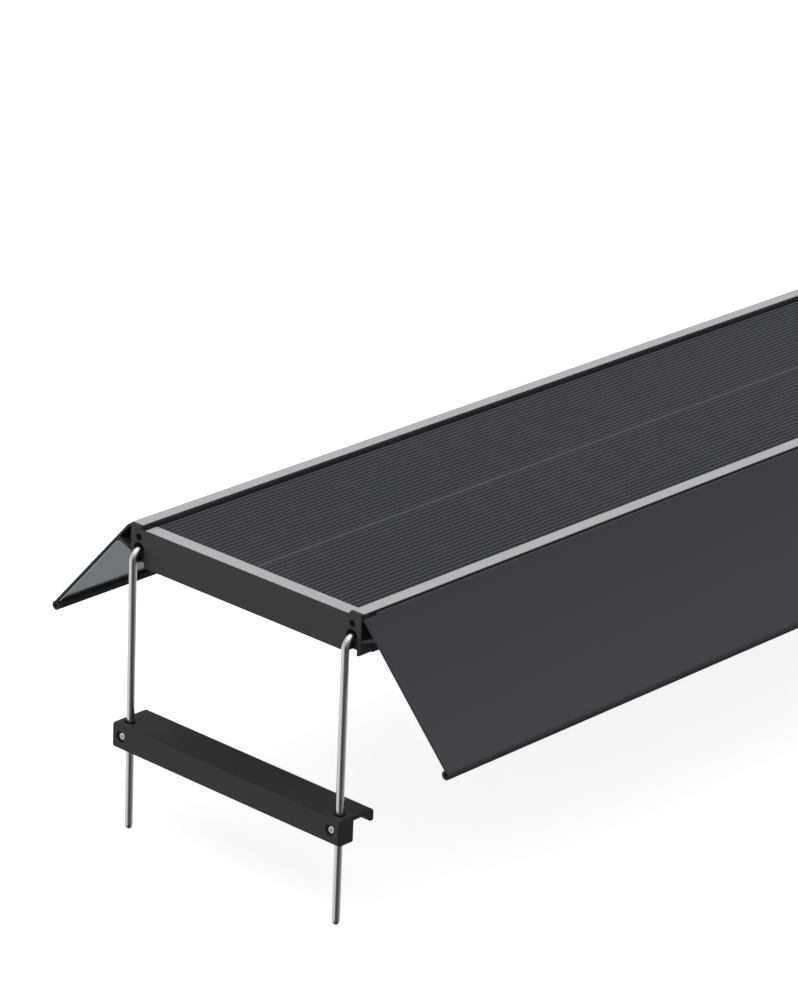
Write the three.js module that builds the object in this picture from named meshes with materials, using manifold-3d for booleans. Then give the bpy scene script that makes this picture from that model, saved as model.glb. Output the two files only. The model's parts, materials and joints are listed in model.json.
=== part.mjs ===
// LED aquarium light: a finned lamp body with two lift-up side shades, and at each end a pair of
// telescoping L-shaped rods that carry a height-adjustable clamp bar for the tank's rim.
// Millimetres, +Z up. X runs along the lamp, -Y is the front side and +Y the rear side.
// The origin lies in the plane of the four rod tips, midway between them.
import * as THREE from 'three';
import { mergeVertices } from 'three/addons/utils/BufferGeometryUtils.js';
import Module from 'manifold-3d';

const wasm = await Module();
wasm.setup();

// ---- Driving dimensions ---------------------------------------------------------------------
const LENGTH = 895; // lamp body, end face to end face
const WIDTH = 195; // lamp body, outer edge to outer edge of the side rails
const BODY_BOTTOM = 177; // heights above the rod tips
const DECK_TOP = 202; // top of the trim strip across each end
const RAIL_TOP = 204.5; // top of the trim strips along the sides
const GAP = 0.3; // clearance between neighbouring pieces

const RAIL_TOP_WIDTH = 8.8; // bright strip on each side rail
const END_DEPTH = 10.9; // depth of each end cap, and of the bright strip on it
const TRIM_THICKNESS = 0.8;
const FIELD_HALF = 85.5; // half the width of the fin field

const FIN_COUNT = 43;
const FIN_THICKNESS = 1.8;
const CENTRE_FIN_THICKNESS = 3.4;
const FIN_TOP = DECK_TOP;
const PLATE_BOTTOM = 190.6; // heat sink base plate
const PLATE_TOP = 193.6;

const ROD_RADIUS = 2.5;
const ROD_BEND_RADIUS = 7;
const ROD_Y = 90; // rods left and right of the lamp's centre plane
const ROD_Z = 188.5; // axis of the rods' horizontal legs
const ROD_STANDOFF = 4.9; // vertical leg's axis, outside the end face
const ROD_INSERT = 140; // horizontal leg's reach behind the end face
const SCREW_Y = 90.2;
const SCREW_Z = 196.5;
const SCREW_HOLE = 1.6;

const PIVOT = new THREE.Vector2(98.6, 201.2); // shade pivot as (distance from centre plane, height)
const BARREL_RADIUS = 1.8;
const SOCKET_INNER = BARREL_RADIUS + GAP;
const SOCKET_OUTER = 3.5;
const PANEL_INNER = 0.2; // panel faces, measured from the pivot along the panel's normal
const PANEL_OUTER = 1.8;
const BEAD_RADIUS = 3;
const BEAD_BORE = 1.4; // open channel along the bead
const BEAD_OFFSET = -0.8; // bead centre, measured like the panel's faces

const BAR_TOP = 73.5;
const BAR_BOTTOM = 56.5;
const BAR_FRONT = -13; // in the end frame, where x = 0 is the end face and +x points inwards
const BLOCK_BACK = 0;
const PLATE_BACK = 17.5;
const HOOK_THICKNESS = 3.2;
const LIP_BOTTOM = 65.1;
const LIP_THICKNESS = 3;
const HOOK_FILLET = 7; // inside corner between the hook's plate and its lip
const LIP_EDGE = 1; // rounded edge at the lip's lower outer corner
const BAR_EDGE = 2; // rounded edges of the bar's block
const HOOK_EDGE = 3; // rounded top edge and corners of the hook
const GRUB_Z = 65.6;
const GRUB_RADIUS = 2.4;

const HALF = LENGTH / 2;
const HALF_WIDTH = WIDTH / 2;
const INNER_HALF = HALF - END_DEPTH - GAP; // half the length of what lies between the end caps
const ROUND = 20; // segments around a small bore or pin

// ---- Finishes -------------------------------------------------------------------------------
const FINISHES = {
  anodised: [0x2b2c2f, 0.55, 0.6],
  fins: [0x303134, 0.5, 0.7],
  bright: [0xb9bbbe, 0.32, 0.95],
  shade: [0x3c3e43, 0.5, 0.5],
  mirror: [0xdfe4e6, 0.05, 1.0],
  steel: [0xc9c9c8, 0.2, 1.0],
  lens: [0xe9f1f2, 0.08, 0.0],
  rubber: [0x1a1a1b, 0.9, 0.0],
  board: [0xe9e9e4, 0.6, 0.0],
  control: [0x1f4a33, 0.6, 0.1],
  plastic: [0x151516, 0.6, 0.0],
  nylon: [0xe4e2da, 0.6, 0.0],
};

// ---- Geometry helpers -----------------------------------------------------------------------
const solid = (geometry) => {
  const bare = geometry.index ? geometry.toNonIndexed() : geometry.clone();
  bare.deleteAttribute('normal');
  bare.deleteAttribute('uv');
  const merged = mergeVertices(bare, 1e-4);
  return new wasm.Manifold(
    new wasm.Mesh({
      numProp: 3,
      vertProperties: new Float32Array(merged.attributes.position.array),
      triVerts: new Uint32Array(merged.index.array),
    }),
  );
};

const toGeometry = (manifold) => {
  const mesh = manifold.getMesh();
  const geometry = new THREE.BufferGeometry();
  geometry.setAttribute('position', new THREE.BufferAttribute(mesh.vertProperties, 3));
  geometry.setIndex(new THREE.BufferAttribute(mesh.triVerts, 1));
  geometry.computeVertexNormals();
  return geometry;
};

const join = (...geometries) => geometries.map(solid).reduce((a, b) => a.add(b));
const cut = (body, ...tools) => tools.map(solid).reduce((a, b) => a.subtract(b), body);

const box = (x0, x1, y0, y1, z0, z1) =>
  new THREE.BoxGeometry(x1 - x0, y1 - y0, z1 - z0).translate((x0 + x1) / 2, (y0 + y1) / 2, (z0 + z1) / 2);

const rodAlongX = (radius, x0, x1, y, z, segments = ROUND) =>
  new THREE.CylinderGeometry(radius, radius, x1 - x0, segments)
    .rotateZ(-Math.PI / 2)
    .translate((x0 + x1) / 2, y, z);

const rodAlongZ = (radius, z0, z1, x, y, segments = ROUND) =>
  new THREE.CylinderGeometry(radius, radius, z1 - z0, segments)
    .rotateX(Math.PI / 2)
    .translate(x, y, (z0 + z1) / 2);

// A section drawn in the (Y, Z) plane, swept along +X from x0 to x1.
const SECTION_TO_X = new THREE.Matrix4().makeBasis(
  new THREE.Vector3(0, 1, 0),
  new THREE.Vector3(0, 0, 1),
  new THREE.Vector3(1, 0, 0),
);
const alongX = (shape, x0, x1, curveSegments = 8) =>
  new THREE.ExtrudeGeometry(shape, { depth: x1 - x0, bevelEnabled: false, curveSegments })
    .applyMatrix4(SECTION_TO_X)
    .translate(x0, 0, 0);

// A section drawn in the (X, Z) plane, swept along Y over the given width, centred on Y = 0.
const SECTION_TO_Y = new THREE.Matrix4().makeBasis(
  new THREE.Vector3(1, 0, 0),
  new THREE.Vector3(0, 0, 1),
  new THREE.Vector3(0, -1, 0),
);
const alongY = (shape, width, curveSegments = 4) =>
  new THREE.ExtrudeGeometry(shape, { depth: width, bevelEnabled: false, curveSegments })
    .applyMatrix4(SECTION_TO_Y)
    .translate(0, width / 2, 0);

const polygon = (points) => new THREE.Shape(points.map(([a, b]) => new THREE.Vector2(a, b)));

// A rectangle with its own radius at each corner, counter-clockwise from the lower left.
const roundedRectangle = (x0, x1, y0, y1, [lowLeft, lowRight, highRight, highLeft]) => {
  const shape = new THREE.Shape();
  shape.moveTo(x0 + lowLeft, y0);
  shape.absarc(x1 - lowRight, y0 + lowRight, lowRight, -Math.PI / 2, 0, false);
  shape.absarc(x1 - highRight, y1 - highRight, highRight, 0, Math.PI / 2, false);
  shape.absarc(x0 + highLeft, y1 - highLeft, highLeft, Math.PI / 2, Math.PI, false);
  shape.absarc(x0 + lowLeft, y0 + lowLeft, lowLeft, Math.PI, 1.5 * Math.PI, false);
  return shape;
};

const lamp = new THREE.Group();

const addPiece = (parent, name, geometry, finish) => {
  const [color, roughness, metalness] = FINISHES[finish];
  const mesh = new THREE.Mesh(
    geometry.isBufferGeometry ? geometry : toGeometry(geometry),
    new THREE.MeshStandardMaterial({ color, roughness, metalness }),
  );
  mesh.name = name;
  parent.add(mesh);
  return mesh;
};

// The two long sides: front at -Y and rear at +Y. Sections are drawn for the rear side, and the
// front piece is the same piece turned half round, because everything along X is symmetric.
// shadeLength runs from the pivot to the centre of the bottom bead, shadeAngle lies below the horizontal.
const SIDES = [
  { name: 'front', sign: -1, turn: Math.PI, shadeLength: 103.4, shadeAngle: THREE.MathUtils.degToRad(47) },
  { name: 'rear', sign: 1, turn: 0, shadeLength: 98.6, shadeAngle: THREE.MathUtils.degToRad(48) },
];

// ---- Heat sink ------------------------------------------------------------------------------
const FLANGE_HALF = 87.6; // flanges that rest on the rails, at the foot of the outermost fins
const FLANGE_BOTTOM = 194.3;
const FLANGE_TOP = 196.3;
const BOARD_SCREW_HOLE = 1.6;
const BOARD_COUNT = 3;
const BOARD_PITCH = 264;
const BOARD_LENGTH = 262;
const BOARD_START = -429;
const BOARD_HALF_WIDTH = 80;
const BOARD_TOP = PLATE_BOTTOM - GAP;
const BOARD_THICKNESS = 1.6;
const BOARD_BOTTOM = BOARD_TOP - BOARD_THICKNESS;
const BOARD_SCREW_Y = 70;
const boardCentre = (index) => BOARD_START + index * BOARD_PITCH + BOARD_LENGTH / 2;
const boardScrewPlaces = (index) => [-1, 1].map((sign) => [boardCentre(index), sign * BOARD_SCREW_Y]);

const heatSinkSection = () => {
  const pitch = (2 * FIELD_HALF - FIN_THICKNESS) / (FIN_COUNT - 1);
  const points = [
    [-FIELD_HALF, PLATE_BOTTOM],
    [FIELD_HALF, PLATE_BOTTOM],
    [FIELD_HALF, FLANGE_BOTTOM],
    [FLANGE_HALF, FLANGE_BOTTOM],
    [FLANGE_HALF, FLANGE_TOP],
    [FIELD_HALF, FLANGE_TOP],
  ];
  for (let index = FIN_COUNT - 1; index >= 0; index--) {
    const centre = (index - (FIN_COUNT - 1) / 2) * pitch;
    const half = (Math.abs(centre) < 1e-6 ? CENTRE_FIN_THICKNESS : FIN_THICKNESS) / 2;
    if (index < FIN_COUNT - 1) points.push([centre + half, PLATE_TOP]);
    points.push([centre + half, FIN_TOP], [centre - half, FIN_TOP]);
    if (index > 0) points.push([centre - half, PLATE_TOP]);
  }
  points.push(
    [-FIELD_HALF, FLANGE_TOP],
    [-FLANGE_HALF, FLANGE_TOP],
    [-FLANGE_HALF, FLANGE_BOTTOM],
    [-FIELD_HALF, FLANGE_BOTTOM],
  );
  return polygon(points);
};

const makeHeatSink = () => {
  const blindHoles = [];
  for (let index = 0; index < BOARD_COUNT; index++) {
    for (const [x, y] of boardScrewPlaces(index)) {
      blindHoles.push(rodAlongZ(BOARD_SCREW_HOLE, PLATE_BOTTOM - 1, PLATE_TOP - 0.5, x, y));
    }
  }
  return cut(solid(alongX(heatSinkSection(), -INNER_HALF, INNER_HALF)), ...blindHoles);
};
addPiece(lamp, 'heat_sink', makeHeatSink(), 'fins');

// ---- Side rails and their bright strips -----------------------------------------------------
const RAIL_INNER = 87.9;
const BOSS_INNER = FIELD_HALF + GAP;
const BOSS_TOP = 194;
const BOSS_BOTTOM = 184;
const WALL_INNER = 94;
const LEDGE_TOP = BODY_BOTTOM + 1.6;
const STRIP_SEAT = RAIL_TOP - TRIM_THICKNESS - GAP;
const SOCKET_END = THREE.MathUtils.degToRad(300); // free end of the lip that holds the shade's barrel

const circleHole = (y, z, radius) => {
  const path = new THREE.Path();
  path.absarc(y, z, radius, 0, 2 * Math.PI, true);
  return path;
};

const railSection = () => {
  const reach = PIVOT.x - HALF_WIDTH; // how far the pivot stands outside the rail's face
  const lipStart = 1.5 * Math.PI - Math.asin(reach / SOCKET_OUTER);
  const mouth = Math.PI / 2 + Math.asin(reach / SOCKET_INNER);
  const shape = new THREE.Shape();
  shape.moveTo(BOSS_INNER, BODY_BOTTOM);
  shape.lineTo(HALF_WIDTH, BODY_BOTTOM);
  shape.absarc(PIVOT.x, PIVOT.y, SOCKET_OUTER, lipStart, SOCKET_END, false);
  shape.absarc(PIVOT.x, PIVOT.y, SOCKET_INNER, SOCKET_END, mouth, true);
  shape.lineTo(HALF_WIDTH, STRIP_SEAT);
  shape.lineTo(RAIL_INNER, STRIP_SEAT);
  shape.lineTo(RAIL_INNER, BOSS_TOP);
  shape.lineTo(BOSS_INNER, BOSS_TOP);
  shape.lineTo(BOSS_INNER, BOSS_BOTTOM);
  shape.lineTo(WALL_INNER, BOSS_BOTTOM);
  shape.lineTo(WALL_INNER, LEDGE_TOP);
  shape.lineTo(BOSS_INNER, LEDGE_TOP);
  shape.closePath();
  shape.holes.push(circleHole(ROD_Y, ROD_Z, ROD_RADIUS + GAP), circleHole(SCREW_Y, SCREW_Z, SCREW_HOLE));
  return shape;
};

const stripInner = HALF_WIDTH - RAIL_TOP_WIDTH;
const CAP_TOP_LIP = 1.6; // black edge of the end caps, in front of the rails' bright strips
for (const { name, turn } of SIDES) {
  const rail = alongX(railSection(), -INNER_HALF, INNER_HALF, 12);
  addPiece(lamp, `${name}_rail`, rail, 'anodised').rotation.z = turn;
  const stripEnd = HALF - CAP_TOP_LIP - GAP;
  const strip = box(-stripEnd, stripEnd, stripInner, HALF_WIDTH, RAIL_TOP - TRIM_THICKNESS, RAIL_TOP);
  addPiece(lamp, `${name}_rail_strip`, strip, 'bright').rotation.z = turn;
}

// ---- Shades ---------------------------------------------------------------------------------
// A point of a shade's section: t runs down the panel from the pivot, s along its outward normal.
const pointOnShade = (angle) => (t, s) => [
  PIVOT.x + t * Math.cos(angle) + s * Math.sin(angle),
  PIVOT.y - t * Math.sin(angle) + s * Math.cos(angle),
];
const BRACE_FOOT = HALF_WIDTH + 0.4; // the brace leg rests against the rail's face
const BRACE_FOOT_TOP = 187.9;
const BRACE_THICKNESS = 2;
const BRACE_TOP = 13; // where the brace meets the panel, down from the pivot
const BRACE_ROOT = 15.4;
const LINER_THICKNESS = 0.4;
const LINER_START = 17.5;
const LINER_MARGIN = 1.5; // from the liner's lower edge to the bead
const PANEL_MIDDLE = (PANEL_INNER + PANEL_OUTER) / 2;

const makeShade = ({ shadeLength, shadeAngle }) => {
  const at = pointOnShade(shadeAngle);
  const panel = polygon([
    at(0, PANEL_INNER),
    at(shadeLength, PANEL_INNER),
    at(shadeLength, PANEL_OUTER),
    at(0, PANEL_OUTER),
  ]);
  const brace = polygon([
    [BRACE_FOOT, BRACE_FOOT_TOP],
    [BRACE_FOOT, BRACE_FOOT_TOP - BRACE_THICKNESS],
    at(BRACE_ROOT, PANEL_MIDDLE),
    at(BRACE_TOP, PANEL_MIDDLE),
  ]);
  const bead = at(shadeLength, BEAD_OFFSET);
  const body = join(
    alongX(panel, -HALF, HALF),
    alongX(brace, -HALF, HALF),
    rodAlongX(BEAD_RADIUS, -HALF, HALF, bead[0], bead[1]),
    rodAlongX(BARREL_RADIUS, -INNER_HALF, INNER_HALF, PIVOT.x, PIVOT.y),
  );
  return cut(body, rodAlongX(BEAD_BORE, -HALF - 1, HALF + 1, bead[0], bead[1], 12));
};

const makeLiner = ({ shadeLength, shadeAngle }) => {
  const at = pointOnShade(shadeAngle);
  const end = shadeLength - BEAD_RADIUS - LINER_MARGIN;
  const back = PANEL_INNER - GAP;
  const outline = polygon([
    at(LINER_START, back - LINER_THICKNESS),
    at(end, back - LINER_THICKNESS),
    at(end, back),
    at(LINER_START, back),
  ]);
  return alongX(outline, -HALF + 1, HALF - 1);
};

for (const side of SIDES) {
  addPiece(lamp, `${side.name}_shade`, makeShade(side), 'shade').rotation.z = side.turn;
  addPiece(lamp, `${side.name}_shade_mirror`, makeLiner(side), 'mirror').rotation.z = side.turn;
}

// ---- Underside: lens and seals --------------------------------------------------------------
const LENS_HALF_LENGTH = INNER_HALF - GAP;
const LENS_HALF_WIDTH = WALL_INNER - 0.5; // room for the acrylic to grow when it is warm
const LENS_BOTTOM = LEDGE_TOP + GAP;
const LENS_THICKNESS = 3;
const LENS_TOP = LENS_BOTTOM + LENS_THICKNESS;
const SEAL_MARGIN = 0.5; // from a seal's or a jaw's edge to the rail beside it
const SEAL_TOP = BOSS_BOTTOM - GAP;
const JAW_DEPTH = 5.4; // how far the end caps' ledges reach under and over the lens
const lens = box(
  -LENS_HALF_LENGTH,
  LENS_HALF_LENGTH,
  -LENS_HALF_WIDTH,
  LENS_HALF_WIDTH,
  LENS_BOTTOM,
  LENS_TOP,
);
addPiece(lamp, 'lens_panel', lens, 'lens');
for (const { name, turn } of SIDES) {
  const seal = box(
    -LENS_HALF_LENGTH,
    LENS_HALF_LENGTH,
    BOSS_INNER + SEAL_MARGIN,
    LENS_HALF_WIDTH,
    LENS_TOP + GAP,
    SEAL_TOP,
  );
  addPiece(lamp, `${name}_lens_seal`, seal, 'rubber').rotation.z = turn;
}

// ---- LED boards, their screws and the control board -----------------------------------------
const LED_ROWS = 5;
const LEDS_PER_ROW = 8;
const LED_ROW_PITCH = 30;
const LED_SIZE = 3.6;
const LED_HEIGHT = 1.4;
const OVERLAP = 0.2; // how far a part of a piece is sunk into the rest of it, so that they join

const makeLedBoard = (index) => {
  const x0 = BOARD_START + index * BOARD_PITCH;
  const plate = box(x0, x0 + BOARD_LENGTH, -BOARD_HALF_WIDTH, BOARD_HALF_WIDTH, BOARD_BOTTOM, BOARD_TOP);
  const ledFace = BOARD_BOTTOM - LED_HEIGHT;
  const leds = [];
  for (let row = 0; row < LED_ROWS; row++) {
    for (let place = 0; place < LEDS_PER_ROW; place++) {
      const x = x0 + ((place + 0.5) / LEDS_PER_ROW) * BOARD_LENGTH;
      const y = (row - (LED_ROWS - 1) / 2) * LED_ROW_PITCH;
      const half = LED_SIZE / 2;
      leds.push(box(x - half, x + half, y - half, y + half, ledFace, BOARD_BOTTOM + OVERLAP));
    }
  }
  const holes = boardScrewPlaces(index).map(([x, y]) =>
    rodAlongZ(BOARD_SCREW_HOLE, BOARD_BOTTOM - 1, BOARD_TOP + 1, x, y),
  );
  return cut(join(plate, ...leds), ...holes);
};

const BOARD_SCREW_HEAD = 2.7; // radius
const BOARD_SCREW_HEAD_HEIGHT = 1.5;
const makeBoardScrew = () => {
  const seat = BOARD_BOTTOM - GAP;
  return join(
    rodAlongZ(BOARD_SCREW_HEAD, seat - BOARD_SCREW_HEAD_HEIGHT, seat, 0, 0),
    rodAlongZ(BOARD_SCREW_HOLE - GAP, seat - OVERLAP, PLATE_TOP - 3 * GAP, 0, 0),
  );
};

for (let index = 0; index < BOARD_COUNT; index++) {
  const place = ['left', 'middle', 'right'][index];
  addPiece(lamp, `${place}_led_board`, makeLedBoard(index), 'board');
  for (const [x, y] of boardScrewPlaces(index)) {
    const side = y < 0 ? 'front' : 'rear';
    addPiece(lamp, `${place}_board_screw_${side}`, makeBoardScrew(), 'steel').position.set(x, y, 0);
  }
}

const CONTROL_START = BOARD_START + BOARD_COUNT * BOARD_PITCH + 2;
const CONTROL_END = 428;
const CONTROL_HALF_WIDTH = 60;
const COVER_THICKNESS = 1;
// The control board's parts: start along X from the board's edge, start along Y, length, width, height.
const CONTROL_PARTS = [
  { x: 8, y: -20, length: 14, width: 24, height: 2 },
  { x: 34, y: -44, length: 12, width: 14, height: 2.4 },
  { x: 34, y: 18, length: 18, width: 22, height: 1.6 },
];
const controlPart = ({ x, y, length, width, height }) =>
  box(
    CONTROL_START + x,
    CONTROL_START + x + length,
    y,
    y + width,
    BOARD_BOTTOM - height,
    BOARD_BOTTOM + OVERLAP,
  );
const controlBoard = join(
  box(CONTROL_START, CONTROL_END, -CONTROL_HALF_WIDTH, CONTROL_HALF_WIDTH, BOARD_BOTTOM, BOARD_TOP),
  ...CONTROL_PARTS.map(controlPart),
);
addPiece(lamp, 'control_board', controlBoard, 'control');
const coverBottom = BOSS_BOTTOM + GAP;
const controlCover = box(
  CONTROL_START - 1,
  CONTROL_END,
  -BOSS_INNER + 1.5,
  BOSS_INNER - 1.5,
  coverBottom,
  coverBottom + COVER_THICKNESS,
);
addPiece(lamp, 'control_cover', controlCover, 'plastic');

// ---- Ends -----------------------------------------------------------------------------------
// Everything at one end is drawn in the end frame: x = 0 is the end face and +x points inwards.
const SLOT_HALF = 4.6; // slot that the rod's vertical leg nests in when it is pushed home
const SLOT_DEPTH = 6.5;
const BUSH_OUTER = 3.9;
const DECK_LIP = 0.6; // black edge left in front of the end's bright strip
const INLET_RADIUS = 5;
const INLET_Z = 190;
const INLET_BACK = 9;
const NUT_RADIUS = 6.8;
const CAP_WALL = 3;
const POCKET_FLOOR = 182.6;
const POCKET_ROOF = 198;
const POCKET_HALF = 80;
const JAW_HALF = BOSS_INNER - SEAL_MARGIN;
const UPPER_JAW_TOP = BOSS_BOTTOM + 3;
const CABLE_WAY_FLOOR = UPPER_JAW_TOP + 1; // where the pocket opens towards the heat sink
const CAP_SCREW_BORE = 2.4;
const CAP_SCREW_SEAT = 5;
const CAP_SCREW_HEAD_HEIGHT = 1.7;
const CAP_SCREW_REACH = 14; // into the rail

const makeEndCap = (hasInlet) => {
  const deep = END_DEPTH + 1;
  const jawStart = END_DEPTH - 1;
  const jawEnd = END_DEPTH + JAW_DEPTH;
  const body = join(
    box(0, END_DEPTH, -HALF_WIDTH, HALF_WIDTH, BODY_BOTTOM, RAIL_TOP),
    box(jawStart, jawEnd, -JAW_HALF, JAW_HALF, BODY_BOTTOM, LEDGE_TOP),
    box(jawStart, jawEnd, -JAW_HALF, JAW_HALF, BOSS_BOTTOM, UPPER_JAW_TOP),
  );
  const stripSeat = DECK_TOP - TRIM_THICKNESS - GAP;
  const tools = [
    box(-1, deep, -stripInner + GAP, stripInner - GAP, DECK_TOP, RAIL_TOP + 1),
    box(DECK_LIP, deep, -FIELD_HALF - GAP, FIELD_HALF + GAP, stripSeat, RAIL_TOP),
    box(CAP_WALL, END_DEPTH - CAP_WALL / 2, -POCKET_HALF, POCKET_HALF, POCKET_FLOOR, POCKET_ROOF),
    box(CAP_WALL, deep, -POCKET_HALF, POCKET_HALF, CABLE_WAY_FLOOR, POCKET_ROOF),
  ];
  for (const sign of [-1, 1]) {
    const span = (from, to) => [Math.min(sign * from, sign * to), Math.max(sign * from, sign * to)];
    tools.push(
      box(CAP_TOP_LIP, deep, ...span(stripInner - 1, HALF_WIDTH + 1), STRIP_SEAT, RAIL_TOP + 1),
      box(1, deep, ...span(FIELD_HALF, RAIL_INNER), FLANGE_TOP, RAIL_TOP),
      box(-1, SLOT_DEPTH, ...span(ROD_Y - SLOT_HALF, ROD_Y + SLOT_HALF), BODY_BOTTOM - 1, ROD_Z),
      rodAlongX(SLOT_HALF, -1, SLOT_DEPTH, sign * ROD_Y, ROD_Z, 24),
      rodAlongX(BUSH_OUTER + GAP, SLOT_DEPTH - 1, deep, sign * ROD_Y, ROD_Z),
      rodAlongX(CAP_SCREW_BORE, -1, CAP_SCREW_SEAT, sign * SCREW_Y, SCREW_Z),
      rodAlongX(SCREW_HOLE + 0.1, CAP_SCREW_SEAT - 1, deep, sign * SCREW_Y, SCREW_Z),
    );
  }
  if (hasInlet) tools.push(rodAlongX(INLET_RADIUS + GAP, -1, CAP_WALL + 1, 0, INLET_Z, 24));
  return cut(body, ...tools);
};

const makeCapScrew = () => {
  const seat = CAP_SCREW_SEAT - GAP;
  return join(
    rodAlongX(CAP_SCREW_BORE - GAP, seat - CAP_SCREW_HEAD_HEIGHT, seat, 0, SCREW_Z),
    rodAlongX(SCREW_HOLE - GAP, seat - OVERLAP, END_DEPTH + CAP_SCREW_REACH, 0, SCREW_Z),
  );
};

const makeBush = () => {
  const ring = new THREE.Shape();
  ring.absarc(0, ROD_Z, BUSH_OUTER, 0, 2 * Math.PI, false);
  ring.holes.push(circleHole(0, ROD_Z, ROD_RADIUS + GAP));
  return alongX(ring, SLOT_DEPTH + GAP, END_DEPTH - GAP, 10);
};

// Centre line of a rod: straight in from the lamp, a quarter bend, then straight down to the tip.
class RodPath extends THREE.Curve {
  static STRAIGHT = 1 / 10;
  getPoint(u, target = new THREE.Vector3()) {
    const bend = new THREE.Vector2(ROD_BEND_RADIUS - ROD_STANDOFF, ROD_Z - ROD_BEND_RADIUS);
    if (u < RodPath.STRAIGHT) {
      const x = THREE.MathUtils.lerp(ROD_INSERT, bend.x, u / RodPath.STRAIGHT);
      return target.set(x, 0, ROD_Z);
    }
    if (u > 1 - RodPath.STRAIGHT) {
      return target.set(-ROD_STANDOFF, 0, bend.y * ((1 - u) / RodPath.STRAIGHT));
    }
    const turn = ((u - RodPath.STRAIGHT) / (1 - 2 * RodPath.STRAIGHT)) * (Math.PI / 2);
    return target.set(
      bend.x - ROD_BEND_RADIUS * Math.sin(turn),
      0,
      bend.y + ROD_BEND_RADIUS * Math.cos(turn),
    );
  }
  getPointAt(u, target) {
    return this.getPoint(u, target);
  }
  getTangentAt(u, target) {
    return this.getTangent(u, target);
  }
}

const makeRod = () => {
  const section = new THREE.Shape();
  section.absarc(0, 0, ROD_RADIUS, 0, 2 * Math.PI, false);
  return new THREE.ExtrudeGeometry(section, { steps: 10, extrudePath: new RodPath(), curveSegments: 8 });
};

const hookUnderside = BAR_TOP - HOOK_THICKNESS;
const GRUB_HOLE = GRUB_RADIUS + GAP;
const RECESS_DEPTH = 1; // shallow countersinks round the rods and the set screws
const ROD_RECESS = 3.75;
const GRUB_RECESS = 3.8;

// The bar's section, drawn in the (X, Z) plane: a block in front and a hook behind.
const clampBarSection = () => {
  const lipInner = PLATE_BACK - LIP_THICKNESS;
  const filletX = lipInner - HOOK_FILLET;
  const filletZ = hookUnderside - HOOK_FILLET;
  const filletEnd = Math.asin((LIP_BOTTOM - filletZ) / HOOK_FILLET);
  const side = new THREE.Shape();
  side.moveTo(BLOCK_BACK, BAR_BOTTOM);
  side.lineTo(BLOCK_BACK, hookUnderside);
  side.absarc(filletX, filletZ, HOOK_FILLET, Math.PI / 2, filletEnd, true);
  side.absarc(PLATE_BACK - LIP_EDGE, LIP_BOTTOM + LIP_EDGE, LIP_EDGE, 1.5 * Math.PI, 2 * Math.PI, false);
  side.absarc(PLATE_BACK - HOOK_EDGE, BAR_TOP - HOOK_EDGE, HOOK_EDGE, 0, Math.PI / 2, false);
  side.absarc(BAR_FRONT + BAR_EDGE, BAR_TOP - BAR_EDGE, BAR_EDGE, Math.PI / 2, Math.PI, false);
  side.absarc(BAR_FRONT + BAR_EDGE, BAR_BOTTOM + BAR_EDGE, BAR_EDGE, Math.PI, 1.5 * Math.PI, false);
  side.closePath();
  return side;
};

const makeClampBar = () => {
  const corners = [BAR_EDGE, HOOK_EDGE, HOOK_EDGE, BAR_EDGE];
  const plan = roundedRectangle(BAR_FRONT, PLATE_BACK, -HALF_WIDTH, HALF_WIDTH, corners);
  const depth = BAR_TOP - BAR_BOTTOM + 2;
  const planBlank = new THREE.ExtrudeGeometry(plan, { depth, bevelEnabled: false, curveSegments: 4 });
  planBlank.translate(0, 0, BAR_BOTTOM - 1);
  const blank = solid(alongY(clampBarSection(), WIDTH + 2)).intersect(solid(planBlank));
  const tools = [];
  for (const sign of [-1, 1]) {
    const y = sign * ROD_Y;
    tools.push(
      rodAlongZ(ROD_RADIUS + GAP, BAR_BOTTOM - 1, BAR_TOP + 1, -ROD_STANDOFF, y),
      rodAlongZ(ROD_RECESS, BAR_TOP - RECESS_DEPTH, BAR_TOP + 1, -ROD_STANDOFF, y),
      rodAlongX(GRUB_HOLE, BAR_FRONT - 1, -ROD_STANDOFF, y, GRUB_Z),
      rodAlongX(GRUB_RECESS, BAR_FRONT - 1, BAR_FRONT + RECESS_DEPTH, y, GRUB_Z),
    );
  }
  return cut(blank, ...tools);
};

const GRUB_SOCKET = 1.45; // circumradius of the set screw's hexagon socket
const GRUB_SOCKET_DEPTH = 1.8;
const makeGrubScrew = () => {
  const start = BAR_FRONT + RECESS_DEPTH + 0.1;
  return cut(
    solid(rodAlongX(GRUB_RADIUS, start, -ROD_STANDOFF - ROD_RADIUS - GAP, 0, GRUB_Z)),
    rodAlongX(GRUB_SOCKET, start - 1, start + GRUB_SOCKET_DEPTH, 0, GRUB_Z, 6),
  );
};

const PAD_START = 1.6;
const PAD_END = 8.4;
const PAD_THICKNESS = 1;
const PAD_MARGIN = 6; // from the pad's ends to the bar's
const makeRimPad = () => {
  const top = hookUnderside - GAP;
  const reach = HALF_WIDTH - PAD_MARGIN;
  return box(PAD_START, PAD_END, -reach, reach, top - PAD_THICKNESS, top);
};

const INLET_PIN_RADIUS = 1;
const INLET_BORE = 3.2;
const INLET_PIN_START = 2.2; // the pin stops short of the mouth
const INLET_FLOOR = 8;
const INLET_THREAD_END = 5.9; // the nut's outer face
const makeInlet = () => {
  const profile = [
    [0, INLET_PIN_START],
    [INLET_PIN_RADIUS, INLET_PIN_START],
    [INLET_PIN_RADIUS, INLET_FLOOR],
    [INLET_BORE, INLET_FLOOR],
    [INLET_BORE, GAP],
    [INLET_RADIUS, GAP],
    [INLET_RADIUS, INLET_BACK],
    [0, INLET_BACK],
  ];
  return new THREE.LatheGeometry(profile.map(([r, x]) => new THREE.Vector2(r, x)), ROUND)
    .rotateZ(-Math.PI / 2)
    .translate(0, 0, INLET_Z);
};

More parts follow.
